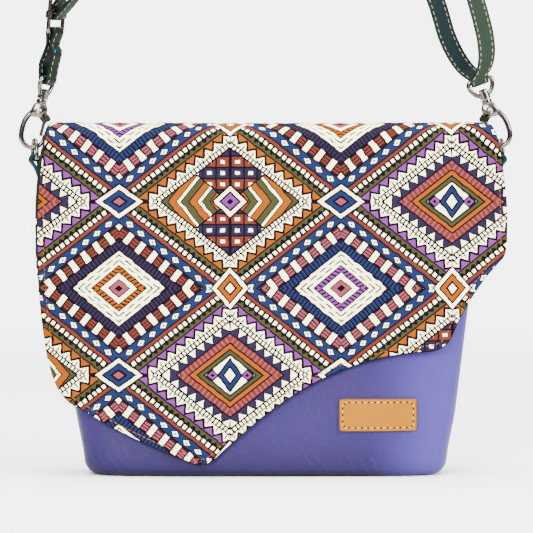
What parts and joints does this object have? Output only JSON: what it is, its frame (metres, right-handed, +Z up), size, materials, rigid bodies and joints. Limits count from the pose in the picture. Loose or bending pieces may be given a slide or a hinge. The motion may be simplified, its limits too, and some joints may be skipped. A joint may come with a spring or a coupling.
{
  "type": "flap crossbody bag",
  "caption": "Crossbody bag with a boxed leather body, a printed two-pointed flap and a doubled leather strap on swivel snap hooks.",
  "frame": {"origin": "middle of the flat base, on the surface that the bag stands on", "axes": "+Z up from the base to the strap, -Y out of the front with the flap, +X to the right as seen from the front"},
  "size_m": [0.3254, 0.0807, 0.5061],
  "materials": {
    "violet_leather": "fine grained, semi matt",
    "green_leather": "fine grained, semi matt, painted edges",
    "teal_leather": "fine grained, semi matt",
    "tan_leather": "smooth, stitched round",
    "printed_cloth": "printed plain weave, edge stitched",
    "canvas_lining": "plain weave",
    "nickel": "polished nickel plate",
    "steel": "plain steel"
  },
  "bodies": {
    "bag": {"body_shell": "violet_leather", "lining_pouch": "canvas_lining", "flap_seam_strip": "printed_cloth", "label_patch": "tan_leather", "snap_socket": "nickel", "left_ring_tab": "teal_leather", "right_ring_tab": "teal_leather", "left_bail": "nickel", "right_bail": "nickel", "slider_frame": "nickel", "slider_bar": "nickel", "short_strap": "green_leather", "long_strap": "green_leather"},
    "flap": {"flap_panel": "printed_cloth", "flap_lining": "green_leather", "snap_stud": "nickel"},
    "left_ring": {"left_ring": "nickel"},
    "right_ring": {"right_ring": "nickel"},
    "left_hook": {"left_hook": "nickel", "left_gate_rivet": "steel", "left_gate_spring": "steel"},
    "right_hook": {"right_hook": "nickel", "right_gate_rivet": "steel", "right_gate_spring": "steel"},
    "left_gate": {"left_gate": "nickel"},
    "right_gate": {"right_gate": "nickel"}
  },
  "joints": [
    {"name": "flap_hinge", "type": "hinge", "parent": "bag", "child": "flap", "pos_m": [0, 0.0135, 0.224], "axis": [-1, 0, 0], "range_deg": [0, 55]},
    {"name": "left_ring_swing", "type": "hinge", "parent": "bag", "child": "left_ring", "pos_m": [-0.152, 0.015, 0.205], "axis": [-0.2588, 0.9659, 0], "range_deg": [-6, 6]},
    {"name": "right_ring_swing", "type": "hinge", "parent": "bag", "child": "right_ring", "pos_m": [0.155, 0.015, 0.205], "axis": [0.2588, 0.9659, 0], "range_deg": [-6, 4]},
    {"name": "left_hook_swivel", "type": "hinge", "parent": "bag", "child": "left_hook", "pos_m": [-0.147, 0.015, 0.245], "axis": [0.2588, 0, 0.9659], "range_deg": [-20, 20]},
    {"name": "right_hook_swivel", "type": "hinge", "parent": "bag", "child": "right_hook", "pos_m": [0.145, 0.015, 0.245], "axis": [-0.342, 0, 0.9397], "range_deg": [-20, 20]},
    {"name": "left_gate_pivot", "type": "hinge", "parent": "left_hook", "child": "left_gate", "pos_m": [-0.14915, 0.015, 0.23698], "axis": [0, 1, 0], "range_deg": [0, 22], "stiffness_Nm_per_rad": 0.02, "springref_deg": -20.05},
    {"name": "right_gate_pivot", "type": "hinge", "parent": "right_hook", "child": "right_gate", "pos_m": [0.14784, 0.015, 0.2372], "axis": [0, -1, 0], "range_deg": [0, 22], "stiffness_Nm_per_rad": 0.02, "springref_deg": -20.05}
  ]
}
